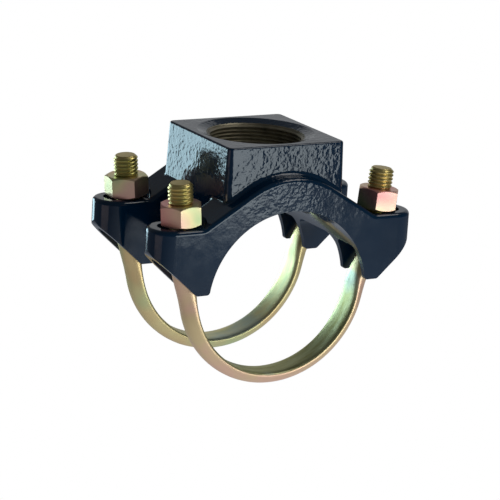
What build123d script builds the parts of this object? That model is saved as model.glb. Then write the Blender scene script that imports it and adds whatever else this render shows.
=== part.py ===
"""Tapping saddle for a 110 mm pipe: a coated ductile-iron half saddle, two U-bolts and four nuts.

X runs across the pipe, Y along it and Z up through the outlet.
The origin is on the pipe's axis, under the middle of the outlet.
"""
from math import cos, pi, radians, sin, sqrt, tan
import os

from build123d import *

# ---------------------------------------------------------------- driving dimensions (mm)
pipe_diameter = 110.0
seat_clearance = 0.1            # between the pipe and the saddle's seat, on the radius
saddle_length = 102.0           # along the pipe

# arch over the pipe
arch_height = 75.3              # crown of the two ribs above the pipe's axis
arch_crown_radius = 54.0
flank_slope = 31.5              # degrees, where the ribs run down to the ears
flank_fillet = 7.0              # hollow where a flank meets its ear
arch_edge_radius = 2.6
shell_wall = 9.0                # between the ribs
window_top = 30.0               # lower edge of the wall between the ribs
window_corner = 9.0

# ears and their feet
ear_top = 48.0
ear_overhang = 22.0             # from a leg's axis to the end of its ear
ear_width = 28.8                # along the pipe
ear_wall = 3.0                  # at the foot
ear_plate = 10.0                # thickness under the nut
ear_end_height = 32.0           # where the end wall turns in to the foot
ear_end_radius = 6.0
foot_bottom = 7.3
foot_outer = 63.5               # from the pipe's axis to the outer side of the foot
foot_tip_radius = 2.8
foot_seat_radius = 2.2          # the foot's corner on the seat
pocket_draft = 4.0              # degrees
pocket_mouth = 28.4             # height of the pocket's upper edge on the seat
pocket_roof_radius = 3.5

# outlet boss
boss_side = 80.3                # at its top face
boss_top = 93.8
boss_draft = 2.2                # degrees
boss_corner_radius = 3.3
boss_edge_radius = 1.3
boss_foot_radius = 3.0          # fillet where the boss stands on the ribs
outlet_thread_radius = 29.8     # 2 inch pipe thread, 11 turns to the inch
outlet_thread_depth = 1.47
outlet_thread_pitch = 25.4 / 11
outlet_thread_turns = 13        # each made as a ring
outlet_crest_share = 0.1        # of the pitch, flat at a crest and at a root
thread_mouth_radius = 30.4
mouth_radius = 36.5             # wide bevel round the mouth
mouth_depth = 2.1

# seal in the seat, round the outlet
seal_inner_radius = 31.0
seal_width = 6.0
seal_depth = 4.5                # of its groove
seal_stand = 1.2                # how far it stands out of the seat
seal_side_clearance = 0.2

# U-bolts
rod_diameter = 14.6
thread_diameter = 15.9          # over the rolled thread's crests
rod_core_diameter = 13.4        # at the thread's root
leg_splay = 5.0                 # degrees that each leg leans outwards
bolt_tip = 72.6
bolt_tip_chamfer = 1.2
thread_length = 42.0
band_inner_radius = 57.3
band_center_height = 7.0        # above the pipe's axis, with the nuts run down
band_width = 18.0
band_thickness = 8.2
band_full_angle = 48.0          # degrees either side of the bottom where the band is widest
arc_sections = 18
section_points = 16
slot_clearance = 0.7            # round the thread, in its slot
slot_end_wall = 6.5             # from a slot to the end of its ear
lift_room = 12.0                # how far a U-bolt can be lifted

# nuts
nut_across_flats = 24.0
nut_height = 13.0
nut_bore_clearance = 0.05
nut_gap = 0.02                  # under a nut's low edge
nut_face_radius = 11.5          # of the chamfered faces
nut_seat_clearance = 1.2        # round a turning nut
nut_turns = (2.0, -5.0, 25.0, 14.0)     # degrees: front left and right, rear left and right

# ---------------------------------------------------------------- worked-out values
seat_radius = pipe_diameter / 2 + seat_clearance
half_length = saddle_length / 2
ear_center_y = half_length - ear_width / 2
window_half = half_length - ear_width
rod_radius = rod_diameter / 2
core_radius = rod_core_diameter / 2
ends = (-1, 1)

# A leg leaves the U-bolt's arc at a tangent, leaning outwards by the splay.
arc_end = 90.0 - leg_splay
leg_direction = (sin(radians(leg_splay)), cos(radians(leg_splay)))
leg_radius = band_inner_radius + rod_radius
leg_foot = (
    leg_radius * sin(radians(arc_end)),
    band_center_height - leg_radius * cos(radians(arc_end)),
)


def leg_x(height):
    """How far a leg's axis stands from the pipe's axis, at a height."""
    return leg_foot[0] + (height - leg_foot[1]) * tan(radians(leg_splay))


bolt_spread = leg_x(ear_top)
ear_reach = bolt_spread + ear_overhang
thread_start = bolt_tip - thread_length * leg_direction[1]
shank_length = (thread_start - leg_foot[1]) / leg_direction[1]
pocket_roof = ear_top - ear_plate
pocket_inner = seat_radius / 2
pocket_outer = ear_reach - ear_wall
pocket_mouth_x = sqrt(seat_radius**2 - pocket_mouth**2)
slot_radius = thread_diameter / 2 + slot_clearance
slot_inner_center = leg_x(pocket_roof - lift_room) - slot_clearance
slot_outer_center = ear_reach - slot_end_wall - slot_radius
slot_center = (slot_inner_center + slot_outer_center) / 2
nut_corner_radius = nut_across_flats / sqrt(3)
nut_seat_radius = nut_corner_radius + nut_seat_clearance
corner_drop = (nut_corner_radius - nut_face_radius) * tan(radians(30))


# ---------------------------------------------------------------- saddle body
# One rib: the arch across the pipe, with an ear and a foot at each end.
slope = radians(flank_slope)
crown_end = (arch_crown_radius * sin(slope), arch_height - arch_crown_radius * (1 - cos(slope)))
flank_foot = crown_end[0] + (crown_end[1] - ear_top) / tan(slope)
foot_inner = sqrt(seat_radius**2 - foot_bottom**2) - 1.0

with BuildPart() as rib:
    with BuildSketch(Plane.XZ.offset(-window_half)):
        with BuildLine():
            RadiusArc((0, arch_height), crown_end, arch_crown_radius)
            FilletPolyline(
                crown_end, (flank_foot, ear_top), (ear_reach, ear_top), radius=flank_fillet
            )
            FilletPolyline(
                (ear_reach, ear_top),
                (ear_reach, ear_end_height),
                (foot_outer, foot_bottom),
                (foot_inner, foot_bottom),
                radius=[ear_end_radius, foot_tip_radius],
            )
            Line((foot_inner, foot_bottom), (0, foot_bottom))
            mirror(about=Plane.YZ)
        make_face()
    extrude(amount=-ear_width)
    # Each ear is round at its end, seen from above.
    with BuildSketch(Plane.XY):
        with Locations((0, ear_center_y)):
            SlotOverall(2 * ear_reach, ear_width)
    extrude(amount=arch_height, mode=Mode.INTERSECT)
    top_edges = rib.edges().filter_by(Axis.Y, reverse=True)
    top_edges = top_edges.filter_by(lambda e: e.bounding_box().min.Z > ear_top - 0.01)
    fillet(top_edges, arch_edge_radius)

# The pocket under an ear, open below and through the seat.
with BuildPart() as pocket:
    with BuildSketch(Plane.XY.offset(foot_bottom)):
        with Locations(((pocket_inner + pocket_outer) / 2, ear_center_y)):
            SlotOverall(pocket_outer - pocket_inner, ear_width - 2 * ear_wall)
    extrude(amount=arch_height, taper=pocket_draft)
    with BuildSketch(Plane.XZ) as roof:
        with BuildLine():
            # The roof slopes up at 45 degrees from the mouth on the seat.
            Polyline(
                (pocket_mouth_x - pocket_mouth + foot_bottom, foot_bottom),
                (pocket_mouth_x - pocket_mouth + pocket_roof, pocket_roof),
                (ear_reach, pocket_roof),
                (ear_reach, foot_bottom),
                close=True,
            )
        make_face()
    extrude(amount=-saddle_length, mode=Mode.INTERSECT)
    roof_edges = pocket.edges().filter_by(lambda e: e.center().Z > pocket_mouth)
    fillet(roof_edges, pocket_roof_radius)

with BuildPart() as boss:
    with BuildSketch(Plane.XY.offset(boss_top)):
        RectangleRounded(boss_side, boss_side, boss_corner_radius)
    extrude(amount=-(boss_top - window_top), taper=-boss_draft)
    fillet(boss.faces().sort_by(Axis.Z)[-1].edges(), boss_edge_radius)

# The mouth of the outlet with its wide bevel, the rings of its thread and the bore below them.
bevel_top = boss_top - mouth_depth
bore_radius = outlet_thread_radius - outlet_thread_depth
thread_top = bevel_top - (thread_mouth_radius - outlet_thread_radius)
flat = outlet_crest_share * outlet_thread_pitch
outlet_profile = [
    (0, boss_top + mouth_depth),
    (2 * mouth_radius - thread_mouth_radius, boss_top + mouth_depth),
    (thread_mouth_radius, bevel_top),
]
for turn in range(outlet_thread_turns):
    root = thread_top - turn * outlet_thread_pitch
    crest = root - (flat + outlet_thread_pitch) / 2
    outlet_profile += [
        (outlet_thread_radius, root),
        (outlet_thread_radius, root - flat),
        (bore_radius, crest),
        (bore_radius, crest - flat),
    ]
with BuildPart() as outlet:
    with BuildSketch(Plane.XZ):
        with BuildLine():
            Polyline(*outlet_profile, (bore_radius, window_top), (0, window_top), close=True)
        make_face()
    revolve(axis=Axis.Z)

# The seal's groove follows the seat round the outlet.
with BuildPart() as groove:
    with BuildSketch(Plane.XY):
        Circle(seal_inner_radius + seal_width)
        Circle(seal_inner_radius, mode=Mode.SUBTRACT)
    extrude(amount=arch_height)
    Cylinder(seat_radius + seal_depth, saddle_length, rotation=(90, 0, 0), mode=Mode.INTERSECT)



def at_boss_foot(edge):
    """Whether an edge lies round the boss, where it meets the ribs and the wall between them."""
    middle = edge.center()
    out = max(abs(middle.X), abs(middle.Y)) - boss_side / 2
    return abs(out) < boss_corner_radius and edge.bounding_box().max.Z < boss_top - boss_foot_radius


with BuildPart() as saddle_body:
    add(rib.part)
    mirror(rib.part, about=Plane.XZ)
    # The wall between the ribs, with a window at each side between the ears.
    with BuildSketch(Plane.XZ.offset(-window_half)):
        Circle(seat_radius + shell_wall)
        with Locations((0, foot_bottom)):
            Rectangle(
                2 * ear_reach, arch_height, align=(Align.CENTER, Align.MIN), mode=Mode.INTERSECT
            )
    extrude(amount=2 * window_half)
    with BuildSketch(Plane.YZ.offset(-ear_reach)):
        with BuildLine():
            FilletPolyline(
                (-window_half, 0),
                (-window_half, window_top),
                (window_half, window_top),
                (window_half, 0),
                radius=window_corner,
            )
            Line((window_half, 0), (-window_half, 0))
        make_face()
    extrude(amount=2 * ear_reach, mode=Mode.SUBTRACT)
    add(boss.part)
    foot_edges = saddle_body.edges().filter_by(at_boss_foot)
    fillet(foot_edges, boss_foot_radius)
    Cylinder(seat_radius, saddle_length, rotation=(90, 0, 0), mode=Mode.SUBTRACT)
    tips = saddle_body.edges().filter_by(Axis.Y).group_by(Axis.Z)[0]
    fillet([e for e in tips if abs(e.center().X) < seat_radius], foot_seat_radius)
    add(outlet.part, mode=Mode.SUBTRACT)
    add(groove.part, mode=Mode.SUBTRACT)
    for side in ends:
        for end in ends:
            # Pocket, slot and nut seat of each ear.
            corner_pocket = pocket.part if side > 0 else pocket.part.mirror(Plane.YZ)
            corner_pocket = corner_pocket if end > 0 else corner_pocket.mirror(Plane.XZ)
            add(corner_pocket, mode=Mode.SUBTRACT)
            with BuildSketch(Plane.XY.offset(pocket_roof - pocket_roof_radius)):
                with Locations((side * slot_center, end * ear_center_y)):
                    SlotCenterToCenter(slot_outer_center - slot_inner_center, 2 * slot_radius)
            extrude(amount=arch_height, mode=Mode.SUBTRACT)
            with Locations((side * bolt_spread, end * ear_center_y, ear_top)):
                Cylinder(
                    nut_seat_radius,
                    nut_height,
                    align=(Align.CENTER, Align.CENTER, Align.MIN),
                    mode=Mode.SUBTRACT,
                )

# ---------------------------------------------------------------- seal ring
# A rubber ring that fills the groove and stands a little out of the seat.
with BuildPart() as seal_ring:
    with BuildSketch(Plane.XY):
        Circle(seal_inner_radius + seal_width - seal_side_clearance)
        Circle(seal_inner_radius + seal_side_clearance, mode=Mode.SUBTRACT)
    extrude(amount=arch_height)
    Cylinder(
        seat_radius + seal_depth - seal_side_clearance,
        saddle_length,
        rotation=(90, 0, 0),
        mode=Mode.INTERSECT,
    )
    Cylinder(seat_radius - seal_stand, saddle_length, rotation=(90, 0, 0), mode=Mode.SUBTRACT)


# ---------------------------------------------------------------- U-bolts
def band_shape(flatness):
    """Points of the rod's section, from a round rod (0) to the flattened band (1).

    The first coordinate runs along the pipe, the second outwards from the band's inner face.
    """
    half_width = rod_radius + flatness * (band_width / 2 - rod_radius)
    thickness = rod_diameter + flatness * (band_thickness - rod_diameter)
    corner = 1 - 0.12 * flatness
    lean = 1 + 1.1 * flatness
    points = []
    for step in range(section_points):
        a = 2 * pi * step / section_points
        across = half_width * (abs(sin(a)) ** corner) * (1 if sin(a) >= 0 else -1)
        out = thickness * ((1 - cos(a)) / 2) ** lean
        points.append((across, out))
    return points


def arc_plane(degrees, y):
    """The plane square to the U-bolt's arc, at an angle counted from straight down."""
    a = radians(degrees)
    origin = (
        band_inner_radius * sin(a),
        y,
        band_center_height - band_inner_radius * cos(a),
    )
    return Plane(origin=origin, x_dir=(0, 1, 0), z_dir=(cos(a), 0, sin(a)))


def make_u_bolt(y):
    """A rod bent round the pipe and flattened below, with two threaded legs."""
    with BuildPart() as bolt:
        for step in range(arc_sections + 1):
            angle = arc_end * (2 * step / arc_sections - 1)
            share = (arc_end - abs(angle)) / (arc_end - band_full_angle)
            flatness = sin(pi / 2 * min(1.0, max(0.0, share))) ** 2
            with BuildSketch(arc_plane(angle, y)):
                with BuildLine():
                    Spline([(u, -v) for u, v in band_shape(flatness)], periodic=True)
                make_face()
        loft()
        # The shanks go on from the arc's two end faces, up to where the thread starts.
        arc_ends = bolt.faces().filter_by(GeomType.PLANE)
        for face in arc_ends:
            extrude(face, amount=shank_length)
        for side in ends:
            top = Plane(
                origin=(side * leg_x(thread_start), y, thread_start),
                z_dir=(side * leg_direction[0], 0, leg_direction[1]),
            )
            with BuildSketch(top):
                Circle(core_radius)
            extrude(amount=thread_length)
        tips = bolt.edges().filter_by(GeomType.CIRCLE).group_by(Axis.Z)[-1]
        chamfer(tips, bolt_tip_chamfer)
    return bolt


u_bolt_front = make_u_bolt(-ear_center_y)
u_bolt_rear = make_u_bolt(ear_center_y)


# ---------------------------------------------------------------- nuts
def make_nut(side, y, turn):
    """A hexagon nut square to its leaning leg, with its low edge on the ear."""
    height = ear_top + nut_face_radius * leg_direction[0] + nut_gap
    seat = Plane(
        origin=(side * leg_x(height), y, height),
        z_dir=(side * leg_direction[0], 0, leg_direction[1]),
    )
    with BuildPart() as nut:
        with BuildSketch(seat):
            RegularPolygon(nut_across_flats / 2, 6, major_radius=False, rotation=turn)
        extrude(amount=nut_height)
        # Both faces are chamfered at 30 degrees.
        with BuildSketch(Plane(origin=seat.origin, x_dir=seat.x_dir, z_dir=-seat.y_dir)):
            with BuildLine():
                Polyline(
                    (0, 0),
                    (nut_face_radius, 0),
                    (nut_corner_radius, corner_drop),
                    (nut_corner_radius, nut_height - corner_drop),
                    (nut_face_radius, nut_height),
                    (0, nut_height),
                    close=True,
                )
            make_face()
        revolve(axis=Axis(seat.origin, seat.z_dir), mode=Mode.INTERSECT)
        with BuildSketch(seat):
            Circle(core_radius + nut_bore_clearance)
        extrude(amount=nut_height, mode=Mode.SUBTRACT)
        rims = nut.edges().filter_by(GeomType.CIRCLE).sort_by(SortBy.RADIUS)[:2]
        chamfer(rims, rod_radius - core_radius)
    return nut


nut_front_left = make_nut(-1, -ear_center_y, nut_turns[0])
nut_front_right = make_nut(1, -ear_center_y, nut_turns[1])
nut_rear_left = make_nut(-1, ear_center_y, nut_turns[2])
nut_rear_right = make_nut(1, ear_center_y, nut_turns[3])

# ---------------------------------------------------------------- files
pieces = {
    "saddle_body": saddle_body,
    "seal_ring": seal_ring,
    "u_bolt_front": u_bolt_front,
    "u_bolt_rear": u_bolt_rear,
    "nut_front_left": nut_front_left,
    "nut_front_right": nut_front_right,
    "nut_rear_left": nut_rear_left,
    "nut_rear_right": nut_rear_right,
}
os.makedirs("parts", exist_ok=True)
for name, piece in pieces.items():
    piece.part.label = name
    export_step(piece.part, f"parts/{name}.step")
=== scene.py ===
"""Looks of the tapping saddle: coated casting, rubber seal, zinc-plated U-bolts and nuts, threads."""
from math import atan2, cos, pi, radians, sin, tan

import bmesh
import bpy
from mathutils import Matrix, Vector


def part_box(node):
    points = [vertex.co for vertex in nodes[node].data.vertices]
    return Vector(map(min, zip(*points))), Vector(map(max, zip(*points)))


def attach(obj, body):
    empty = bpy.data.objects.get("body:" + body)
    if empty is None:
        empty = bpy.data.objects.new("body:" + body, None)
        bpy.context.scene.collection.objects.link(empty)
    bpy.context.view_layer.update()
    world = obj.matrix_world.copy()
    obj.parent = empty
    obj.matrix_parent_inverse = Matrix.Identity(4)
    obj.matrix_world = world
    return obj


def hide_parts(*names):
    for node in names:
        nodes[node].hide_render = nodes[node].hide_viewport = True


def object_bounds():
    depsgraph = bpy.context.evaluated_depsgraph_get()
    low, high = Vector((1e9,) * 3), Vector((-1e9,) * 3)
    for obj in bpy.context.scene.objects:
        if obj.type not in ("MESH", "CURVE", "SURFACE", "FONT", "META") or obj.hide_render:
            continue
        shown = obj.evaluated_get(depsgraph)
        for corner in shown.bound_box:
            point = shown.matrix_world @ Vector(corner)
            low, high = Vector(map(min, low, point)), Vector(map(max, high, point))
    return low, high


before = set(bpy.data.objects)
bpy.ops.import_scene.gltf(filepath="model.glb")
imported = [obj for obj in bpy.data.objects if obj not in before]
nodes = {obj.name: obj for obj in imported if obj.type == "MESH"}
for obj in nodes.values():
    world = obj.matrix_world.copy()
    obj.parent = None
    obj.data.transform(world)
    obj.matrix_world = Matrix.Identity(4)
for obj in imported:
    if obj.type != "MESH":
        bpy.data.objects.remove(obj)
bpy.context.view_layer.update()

MM = 0.001
LEAN = radians(5)  # of each leg, outwards
RING_HEIGHT = 7 * MM  # of the centre that the U-bolts' rings go round
INNER_RADIUS = 57.3 * MM  # from that centre to the rod's inside
ROD_RADIUS = 7.3 * MM
LEG_OUT = 64.6 * MM  # from that centre to the rod's middle
LEG_FOOT = 1.37 * MM  # height at which the ring ends and the straight leg begins
BAND_LEFT = 2.4 * MM  # how far the flat band hangs to the left
BAND_TIGHTER = 1.3 * MM  # how much smaller the band's radius is than INNER_RADIUS
NOISE_RANGE = (0.3, 0.7)  # that most of a noise's values lie in


# ---------------------------------------------------------------- shader maths
class Value:
    """A socket in a node tree. Arithmetic with it adds Math nodes."""

    def __init__(self, material, socket):
        self.material = material
        self.socket = socket

    def math(self, operation, a, b):
        return self.material.node("ShaderNodeMath", {"operation": operation}, {0: a, 1: b})

    def __add__(self, other):
        return self.math("ADD", self, other)

    def __sub__(self, other):
        return self.math("SUBTRACT", self, other)

    def __rsub__(self, other):
        return self.math("SUBTRACT", other, self)

    def __mul__(self, other):
        return self.math("MULTIPLY", self, other)

    def __pow__(self, other):
        return self.math("POWER", self, other)


class Material:
    """A procedural material on one Principled shader."""

    def __init__(self, name, **constants):
        self.data = bpy.data.materials.new(name)
        self.data.use_nodes = True
        self.tree = self.data.node_tree
        self.shader = self.tree.nodes["Principled BSDF"]
        for key, value in constants.items():
            self.shader.inputs[key.replace("_", " ")].default_value = value
        self.place = self.node("ShaderNodeTexCoord", {}, {}, "Object")

    def node(self, kind, settings, sockets, output=0):
        """Adds a node with its settings, then sets or links its sockets."""
        node = self.tree.nodes.new(kind)
        for key, value in settings.items():
            setattr(node, key, value)
        for key, value in sockets.items():
            if isinstance(value, Value):
                self.tree.links.new(value.socket, node.inputs[key])
            else:
                node.inputs[key].default_value = value
        return Value(self, node.outputs[output])

    def noise(self, size, detail=2.0, roughness=0.5, place=None):
        """Noise whose blotches are about as wide as size, in metres."""
        sockets = {
            "Vector": place or self.place,
            "Scale": 0.5 / size,
            "Detail": detail,
            "Roughness": roughness,
        }
        return self.node("ShaderNodeTexNoise", {}, sockets, "Fac")

    def spread(self, value, low, high, to_low=0.0, to_high=1.0):
        """Maps low..high of a value to to_low..to_high, held at both ends."""
        sockets = {"Value": value, 1: low, 2: high, 3: to_low, 4: to_high}
        return self.node("ShaderNodeMapRange", {"clamp": True}, sockets)

    def mix(self, share, a, b):
        """A colour between a, at share 0, and b, at share 1."""
        return self.node("ShaderNodeMix", {"data_type": "RGBA"}, {0: share, 6: a, 7: b}, 2)

    def ramp(self, share, stops):
        """A colour from a ramp of (position, colour) stops."""
        found = self.node("ShaderNodeValToRGB", {}, {0: share})
        elements = found.socket.node.color_ramp.elements
        while len(elements) < len(stops):
            elements.new(0.5)
        for element, (position, stop) in zip(elements, stops):
            element.position = position
            element.color = stop
        return found

    def bump(self, height, distance):
        """A normal from heights of 0 to 1, which stand for 0 to distance in metres."""
        return self.node("ShaderNodeBump", {}, {"Height": height, "Distance": distance})

    def axes(self):
        """The three coordinates of a point on the piece, in metres."""
        return [self.node("ShaderNodeSeparateXYZ", {}, {0: self.place}, n) for n in range(3)]

    def cover(self, node):
        """Gives a CAD node this material."""
        slots = nodes[node].data.materials
        slots.clear()
        slots.append(self.data)

    def feed(self, **links):
        """Links values to the shader's sockets."""
        for key, value in links.items():
            self.tree.links.new(value.socket, self.shader.inputs[key.replace("_", " ")])


def color(r, g, b):
    """A colour from its 0 to 255 screen values, as a linear one."""
    channels = []
    for c in (r, g, b):
        c = c / 255
        channels.append(c / 12.92 if c <= 0.04045 else ((c + 0.055) / 1.055) ** 2.4)
    return (*channels, 1.0)


# ---------------------------------------------------------------- coated casting
# Thick glossy navy epoxy over a sand-cast skin: fine orange peel, strong in patches of the upper
# half, over slow swells. The outlet is cut afterwards, so bare oily iron shows in its thread.
OUTLET_EDGE = (30.55 * MM, 30.45 * MM)  # radii between which the coating gives way to iron
OUTLET_FOOT = (40 * MM, 41 * MM)  # heights between which the same happens
PEEL_HEIGHTS = (44 * MM, 72 * MM)  # the peel is faint below them and full above
PEEL_DEPTH = 0.00026
coating = Material("navy_epoxy", IOR=1.5)
x, y, z = coating.axes()
radius = (x * x + y * y) ** 0.5
bare = coating.spread(radius, *OUTLET_EDGE) * coating.spread(z, *OUTLET_FOOT)
swell = coating.noise(0.018, 1.0)
peel = coating.noise(0.0013, 1.2, 0.45)
patch = coating.spread(coating.noise(0.020, 2.0), 0.44, 0.58, 0.4, 1.0)
patch = patch * coating.spread(z, *PEEL_HEIGHTS, 0.10, 1.0)
epoxy = coating.mix(swell, color(0, 31, 54), color(2, 42, 68))
oil = coating.noise(0.009, 3.0)
iron = coating.mix(coating.spread(oil, 0.35, 0.65), color(108, 102, 84), color(156, 147, 122))
coating.feed(
    Base_Color=coating.mix(bare, epoxy, iron),
    Roughness=coating.spread(coating.noise(0.005), *NOISE_RANGE, 0.07, 0.15) + bare * 0.3,
    Metallic=bare * 0.65,
    Normal=coating.bump((peel * patch + swell * 1.1) * (1 - bare), PEEL_DEPTH),
)
coating.cover("saddle_body")

# ---------------------------------------------------------------- seal rubber
# Matt black moulded rubber with a faint grey bloom.
rubber = Material("seal_rubber", Roughness=0.6)
bloom = rubber.noise(0.004, 3.0)
rubber.feed(
    Base_Color=rubber.mix(bloom, color(22, 22, 23), color(44, 44, 44)),
    Roughness=rubber.spread(bloom, *NOISE_RANGE, 0.5, 0.75),
    Normal=rubber.bump(rubber.noise(0.0008, 3.0), 0.00005),
)
rubber.cover("seal_ring")


# ---------------------------------------------------------------- nuts and threads
# Yellow-passivated zinc. The nuts go through green, straw, rose and magenta, and the threads
# are plain gold.
ZINC_METALLIC = 0.88
CLOUD_OFFSET = (0.05, 0.02, 0.01)  # metres, so that the clouds fall as in the photograph


def zinc(name, stops, rough):
    """Zinc whose hue drifts in soft clouds, as the thickness of its film does."""
    metal = Material(name, Metallic=ZINC_METALLIC)
    moved = metal.node("ShaderNodeVectorMath", {}, {0: metal.place, 1: CLOUD_OFFSET})
    film = metal.noise(0.011, 1.0, 0.4, moved)
    smears = metal.noise(0.005, 1.0)
    metal.feed(
        Base_Color=metal.ramp(film, stops),
        Roughness=metal.spread(smears, *NOISE_RANGE, rough - 0.03, rough + 0.04),
    )
    return metal


NUT_STOPS = (
    (0.28, color(196, 204, 150)),  # green
    (0.38, color(232, 212, 160)),  # straw
    (0.50, color(236, 192, 166)),  # rose
    (0.66, color(224, 156, 148)),  # magenta
)
THREAD_STOPS = (
    (0.40, color(196, 186, 108)),  # olive gold
    (0.56, color(228, 202, 126)),  # gold
)
nut_zinc = zinc("nut_zinc", NUT_STOPS, 0.32)
thread_zinc = zinc("thread_zinc", THREAD_STOPS, 0.30)
for name in nodes:
    if name.startswith("nut"):
        nut_zinc.cover(name)

# ---------------------------------------------------------------- the U-bolts' zinc
# Pink and gold outside, and olive green with pale streaks on the band's inside. The inside's colour
# is partly the film's own hue
# and partly painted light: painted shade darkens the front one's inside to olive, a painted
# reflection lightens the rear one's, and pale clouds on it are painted highlights. The rear one is
# more golden, and the legs are plain gold.
BAND_EDGE = (57.6 * MM, 56.8 * MM)  # radii between which the outside's look gives way
BEHIND = (-1 * MM, 1 * MM)  # from the front U-bolt's colours to the rear one's
LEG_HEIGHTS = (16 * MM, 22 * MM)  # above the ring's centre, from the ring's colour to the leg's
STREAK_RADIUS = 0.058  # turns the angle round the ring to metres

bolt_zinc = Material("bolt_zinc", Metallic=ZINC_METALLIC)
x, y, z = bolt_zinc.axes()
x = x + BAND_LEFT
z = z - RING_HEIGHT
ring_radius = (x * x + z * z) ** 0.5
around = x.math("ARCTAN2", x, 0 - z) * STREAK_RADIUS
along = bolt_zinc.node("ShaderNodeCombineXYZ", {}, {0: around * 0.2, 1: y, 2: 0.0})
streaks = bolt_zinc.noise(0.0024, 3.0, 0.6, along)
clouds = bolt_zinc.noise(0.019, 3.0, 0.55)
inside = bolt_zinc.spread(ring_radius, *BAND_EDGE)
rear = bolt_zinc.spread(y, *BEHIND)
pink = bolt_zinc.mix(rear, color(252, 206, 172), color(240, 208, 150))
gold = bolt_zinc.mix(rear, color(244, 214, 160), color(244, 222, 160))
outer = bolt_zinc.mix(bolt_zinc.spread(clouds, 0.38, 0.54), gold, pink)
green_clouds = bolt_zinc.noise(0.026, 2.0)
outer = bolt_zinc.mix(bolt_zinc.spread(green_clouds, 0.56, 0.68), outer, color(214, 220, 160))
# Painted shade on the front U-bolt's inside, a painted reflection on the rear one's.
inside_painted_light = bolt_zinc.mix(rear, color(176, 172, 108), color(250, 232, 166))
inside_colour_and_painted_light = bolt_zinc.mix(bolt_zinc.spread(streaks, *NOISE_RANGE), inside_painted_light, color(222, 224, 172))
# Pale clouds on the inside: painted highlights.
inside_colour_and_painted_light = bolt_zinc.mix(bolt_zinc.spread(clouds, 0.52, 0.66), inside_colour_and_painted_light, color(206, 216, 192))
leg = bolt_zinc.spread(z, *LEG_HEIGHTS)
bolt_zinc.feed(
    Base_Color=bolt_zinc.mix(leg, bolt_zinc.mix(inside, outer, inside_colour_and_painted_light), color(206, 186, 120)),
    Roughness=bolt_zinc.spread(streaks, *NOISE_RANGE, 0.36, 0.46),
    Normal=bolt_zinc.bump(streaks, 0.00003),
)

# ---------------------------------------------------------------- U-bolts
# A rod, round in its legs and pressed to a wide flat band round the pipe. It is pressed thin
# already inside the ears, so the band hugs the pipe closer than the plain solid does.
ROD_SEGMENTS = 40
ROD_THICKNESS = 14.6 * MM
BAND_THINNER = 6.4 * MM
BAND_WIDER = 1.7 * MM  # on each side
SHIFT_HEIGHTS = (28 * MM, 2 * MM)  # from the leg's line to the band's smaller circle
FLAT_HEIGHTS = (26 * MM, -6 * MM)  # from the round, thick section to the flat, thin one
WIDE_HEIGHTS = (16 * MM, -16 * MM)  # from the rod's width to the band's
ROOT_REACH = (16 * MM, 19 * MM)  # past the ring's end, from the rod to its thread's root
ROOT_DEPTH = 0.62 * MM
CHAMFER = 0.8 * MM
TIP_PAST_SOLID = 1.4 * MM  # how far the tips stand above the plain solid's


def ease(value, start, end):
    """0 at start and 1 at end, with a smooth way between them."""
    share = min(1.0, max(0.0, (value - start) / (end - start)))
    return share * share * (3 - 2 * share)


def u_bolt(name, body, node, y, tip, steps=260):
    """A U-bolt in the plane at y, made as a straight tube and then bent, with tips at height tip.

    The tube's radius is 1 at first: its x and y say where on the section a point lies.
    """
    arc = INNER_RADIUS * radians(170)
    leg = (tip - LEG_FOOT) / cos(LEAN)
    length = arc + 2 * leg
    mesh = bmesh.new()
    circle = bmesh.ops.create_circle(mesh, segments=ROD_SEGMENTS, radius=1)["verts"]
    bmesh.ops.spin(
        mesh,
        geom=circle + list(mesh.edges),
        axis=(0, 0, 1),
        dvec=(0, 0, length / steps),
        angle=0,
        steps=steps,
    )
    ends = [edge for edge in mesh.edges if edge.is_boundary]
    bmesh.ops.contextual_create(mesh, geom=[e for e in ends if e.verts[0].co.z < length / 2])
    bmesh.ops.contextual_create(mesh, geom=[e for e in ends if e.verts[0].co.z > length / 2])
    for vert in mesh.verts:
        # The rod's inside line: the ring's arc, then a straight leg from past = 0.
        along = vert.co.z
        side = -1 if along < length / 2 else 1
        past = abs(along - length / 2) - arc / 2
        angle = side * min(arc / 2, arc / 2 + past) / INNER_RADIUS
        inner_x = INNER_RADIUS * sin(angle) + side * max(0, past) * sin(LEAN)
        inner_z = RING_HEIGHT - INNER_RADIUS * cos(angle) + max(0, past) * cos(LEAN)
        # The band's own circle is a little smaller, and hangs a little to the left.
        shift = ease(inner_z, *SHIFT_HEIGHTS)
        inner_x += shift * (-BAND_LEFT - BAND_TIGHTER * sin(angle))
        inner_z += shift * BAND_TIGHTER * cos(angle)
        # The section: round, and down the ring flatter, thinner and wider.
        flat = ease(inner_z, *FLAT_HEIGHTS)
        thick = ROD_THICKNESS - BAND_THINNER * flat
        half_width = ROD_RADIUS + BAND_WIDER * ease(inner_z, *WIDE_HEIGHTS)
        sideways = vert.co.y if abs(vert.co.y) > 1e-9 else 0.0
        outwards = ((1 - vert.co.x) / 2) ** (1 + 1.1 * flat)
        across = half_width * abs(sideways) ** (1 - 0.12 * flat) * (1 if sideways > 0 else -1)
        out = thick * outwards
        # The thread's root, and the tip's chamfer.
        root = ease(past, *ROOT_REACH) * ROOT_DEPTH
        root += max(0.0, CHAMFER - (leg - past))
        size = 1 - root / ROD_RADIUS
        across *= size
        out = (out - thick / 2) * size + thick / 2
        vert.co = (inner_x + out * sin(angle), y + across, inner_z - out * cos(angle))
    bmesh.ops.recalc_face_normals(mesh, faces=mesh.faces)
    data = bpy.data.meshes.new(name)
    mesh.to_mesh(data)
    mesh.free()
    for face in data.polygons:
        face.use_smooth = len(face.vertices) == 4  # all but the two tips
    data.materials.append(bolt_zinc.data)
    piece = bpy.data.objects.new(name, data)
    bpy.context.collection.objects.link(piece)
    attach(piece, body)
    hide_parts(node)


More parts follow.
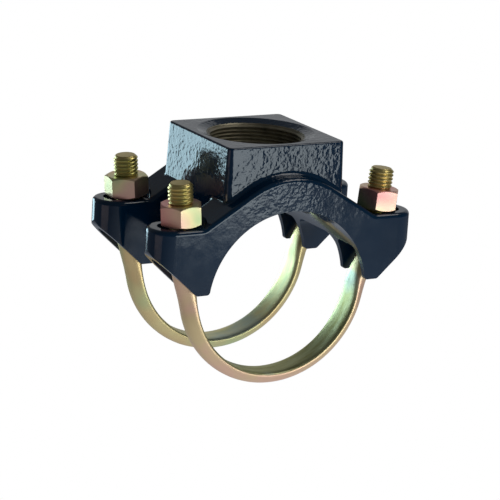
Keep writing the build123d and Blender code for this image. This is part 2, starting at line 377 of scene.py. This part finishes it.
# ---------------------------------------------------------------- the legs' threads
# Helical ridges above and below each nut, round legs that lean out by 5 degrees. They are 5/8
# inch threads, of 11 to the inch.
PITCH = 25.4 / 11 * MM
ROOT = 6.67 * MM
CREST = 7.65 * MM
TIP_RISE = 2 * MM  # above the plain solid's tip, less TIP_CUT along the leg
TIP_CUT = 0.6 * MM
LEG_THREADED = 44 * MM  # from the tip down
PLAIN_TIP = 0.4 * MM
INTO_NUT = 1.5 * MM  # how far each ridge goes on inside the nut
FADE_TURNS = 0.75  # over which a ridge fades out at each end


def thread(name, body, material, root, crest, pitch, start, end, axis, steps=72):
    """A helical ridge from height start to end of the Z axis, then turned onto its axis."""
    half = 0.46 * pitch  # half of the ridge's foot
    flat = 0.07 * pitch  # half of its flat crest
    profile = [(-half, root), (-flat, crest), (flat, crest), (half, root)]
    turns = (end - start) / pitch
    count = int(turns * steps)
    mesh = bmesh.new()
    points = [mesh.verts.new((r, 0, start + z)) for z, r in profile]
    edges = [mesh.edges.new(pair) for pair in zip(points, points[1:])]
    bmesh.ops.spin(
        mesh,
        geom=points + edges,
        cent=(0, 0, 0),
        axis=(0, 0, 1),
        dvec=(0, 0, (end - start) / count),
        angle=2 * pi * turns,
        steps=count,
    )
    bmesh.ops.recalc_face_normals(mesh, faces=mesh.faces)
    # The ridge fades out over its first and last FADE_TURNS.
    for vert in mesh.verts:
        r = Vector((vert.co.x, vert.co.y)).length
        turned = atan2(vert.co.y, vert.co.x) / (2 * pi)
        middle = start + pitch * (turned + round((vert.co.z - start) / pitch - turned))
        fade = ease(min(middle - start, end - middle), 0, FADE_TURNS * pitch)
        r_new = root + (r - root) * fade
        vert.co.x *= r_new / r
        vert.co.y *= r_new / r
        vert.co.z = middle + (vert.co.z - middle) * fade
    data = bpy.data.meshes.new(name)
    mesh.to_mesh(data)
    mesh.free()
    data.shade_smooth()
    piece = bpy.data.objects.new(name, data)
    bpy.context.collection.objects.link(piece)
    data.transform(axis)
    data.materials.append(material.data)
    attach(piece, body)


for end in ("front", "rear"):
    low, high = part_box(f"u_bolt_{end}")
    middle = (low.y + high.y) / 2
    tip = high.z + TIP_PAST_SOLID
    u_bolt(f"{end}_u_bolt", f"{end}_bolt", f"u_bolt_{end}", middle, tip)
    for side, sign in (("left", -1), ("right", 1)):
        nut_low, nut_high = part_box(f"nut_{end}_{side}")
        foot = Vector((sign * LEG_OUT * cos(LEAN), middle, LEG_FOOT))
        turn = Matrix.Translation(foot) @ Matrix.Rotation(sign * LEAN, 4, "Y")
        # These three are measured along the leg, from its foot.
        top = (high.z + TIP_RISE - foot.z) / cos(LEAN) - TIP_CUT
        nut_top = (nut_high.z - foot.z) / cos(LEAN)
        nut_bottom = (nut_low.z - foot.z) / cos(LEAN)
        for part, start, finish in (
            ("upper", nut_top - INTO_NUT, top - PLAIN_TIP),
            ("lower", top - LEG_THREADED, nut_bottom + INTO_NUT),
        ):
            thread(
                f"leg_thread_{end}_{side}_{part}",
                f"{end}_bolt",
                thread_zinc,
                root=ROOT,
                crest=CREST,
                pitch=PITCH,
                start=start,
                end=finish,
                axis=turn,
            )

# ---------------------------------------------------------------- camera
# Seen from the front left and above, with the camera turned a little about its view. The angles,
# the lens and the point looked at were fitted to the object's corners in the photograph.
azimuth, elevation, roll = radians(30.149), radians(15.368), radians(-3.501)
CAMERA_DISTANCE = 1.5
forward = Vector((sin(azimuth) * cos(elevation), cos(azimuth) * cos(elevation), -sin(elevation)))
right = Vector((cos(azimuth), -sin(azimuth), 0))
up = right.cross(forward)
target = right * 0.818 * MM + Vector((0, 0, 17.265 * MM))
side_axis = right * cos(roll) - up * sin(roll)
up_axis = right * sin(roll) + up * cos(roll)
place = Matrix.Identity(4)
for column, axis in enumerate((side_axis, up_axis, -forward, target - forward * CAMERA_DISTANCE)):
    for row in range(3):
        place[row][column] = axis[row]
camera_data = bpy.data.cameras.new("camera")
camera_data.sensor_width = 36
camera_data.lens = 172.73
camera = bpy.data.objects.new("camera", camera_data)
camera.matrix_world = place
bpy.context.collection.objects.link(camera)
bpy.context.scene.camera = camera

# ---------------------------------------------------------------- floor and backdrop
# The floor is plain white to the camera. To everything else it glows, a painted light from below:
# grey, with a painted pool of light brightest in front.
FLOOR_SIZE = 8
FLOOR_DROP = 0.25  # below the object
# The pool is painted light, a brighter patch in the floor's glow.
POOL_CENTRE = (0.25, -0.45)  # of the brighter pool on the floor
POOL_RADII = (0.5, 1.5)

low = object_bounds()[0].z
bpy.ops.mesh.primitive_plane_add(size=FLOOR_SIZE, location=(0, 0, low - FLOOR_DROP))
floor = bpy.context.object
floor.name = "floor"
pale = Material("floor_painted_glow", Roughness=1.0)
x, y, z = pale.axes()
pool = ((x - POOL_CENTRE[0]) ** 2.0 + (y - POOL_CENTRE[1]) ** 2.0) ** 0.5
# The floor's painted glow, brightest in the pool.
lit = pale.mix(pale.spread(pool, *POOL_RADII), (0.50, 0.55, 0.62, 1), (0.10, 0.10, 0.11, 1))
camera_ray = pale.node("ShaderNodeLightPath", {}, {}, "Is Camera Ray")
pale.shader.inputs["Base Color"].default_value = (0, 0, 0, 1)
pale.shader.inputs["Specular IOR Level"].default_value = 0
pale.shader.inputs["Emission Strength"].default_value = 1.0
pale.feed(Emission_Color=pale.mix(camera_ray, lit, (1, 1, 1, 1)))
floor.data.materials.append(pale.data)

# The room is plain white to the camera too. In reflections it is dim, a little brighter behind.
DIM_ROOM = (0.15, (0.06, 0.065, 0.075, 1))  # position on the ramp, and colour
BACK_OF_ROOM = (0.75, (0.13, 0.135, 0.14, 1))

world = bpy.data.worlds.new("studio")
bpy.context.scene.world = world
world.use_nodes = True
tree = world.node_tree
room = tree.nodes["Background"]
place_node = tree.nodes.new("ShaderNodeTexCoord")
split = tree.nodes.new("ShaderNodeSeparateXYZ")
ramp = tree.nodes.new("ShaderNodeValToRGB")
for element, stop in zip(ramp.color_ramp.elements, (DIM_ROOM, BACK_OF_ROOM)):
    element.position, element.color = stop
tree.links.new(place_node.outputs["Generated"], split.inputs[0])
tree.links.new(split.outputs["Y"], ramp.inputs[0])
tree.links.new(ramp.outputs[0], room.inputs["Color"])
plain = tree.nodes.new("ShaderNodeBackground")
plain.inputs["Color"].default_value = (1, 1, 1, 1)
path = tree.nodes.new("ShaderNodeLightPath")
blend = tree.nodes.new("ShaderNodeMixShader")
tree.links.new(path.outputs["Is Camera Ray"], blend.inputs[0])
tree.links.new(room.outputs[0], blend.inputs[1])
tree.links.new(plain.outputs[0], blend.inputs[2])
tree.links.new(blend.outputs[0], tree.nodes["World Output"].inputs[0])


# ---------------------------------------------------------------- lights
# Large soft lights, placed by where the photograph's reflections show them.
LIGHT_DISTANCE = 1.3
LIT_POINT = Vector((0, 0, 0.03))


def softbox(name, azimuth, elevation, wide, tall, radiance, tint, tilt=0):
    """A soft rectangular light, as seen from the object.

    All angles are in degrees. Azimuth 0 is behind the object (+Y) and 90 is to its right (+X).
    """
    data = bpy.data.lights.new(name, "AREA")
    data.shape = "RECTANGLE"
    data.size = 2 * LIGHT_DISTANCE * tan(radians(wide / 2))
    data.size_y = 2 * LIGHT_DISTANCE * tan(radians(tall / 2))
    data.energy = radiance * pi * data.size * data.size_y
    data.color = tint
    lamp = bpy.data.objects.new(name, data)
    a, e = radians(azimuth), radians(elevation)
    direction = Vector((sin(a) * cos(e), cos(a) * cos(e), sin(e)))
    turn = direction.to_track_quat("Z", "Y").to_matrix().to_4x4()
    turn = turn @ Matrix.Rotation(radians(tilt), 4, "Z")
    lamp.matrix_world = Matrix.Translation(direction * LIGHT_DISTANCE + LIT_POINT) @ turn
    bpy.context.collection.objects.link(lamp)


# Name, azimuth, elevation, width, height, radiance, tint and, for the one turned, its tilt.
softbox("back_left", -17, -4, 30, 30, 5.4, (0.60, 0.88, 1.0), 45)
softbox("front", 164.8, -2.1, 31.4, 23, 3.8, (0.87, 0.97, 1.0))
softbox("front_low", 160, -24, 50, 18, 0.5, (0.88, 0.94, 1.0))
softbox("back", 40, 14, 62, 40, 0.34, (0.96, 0.98, 1.0))
softbox("left_warm", 260, -13, 36, 16, 0.5, (1.0, 0.80, 0.74))
softbox("overhead", 118, 57, 28, 18, 2.8, (1.0, 0.99, 0.97))

bpy.context.scene.view_settings.view_transform = "Standard"
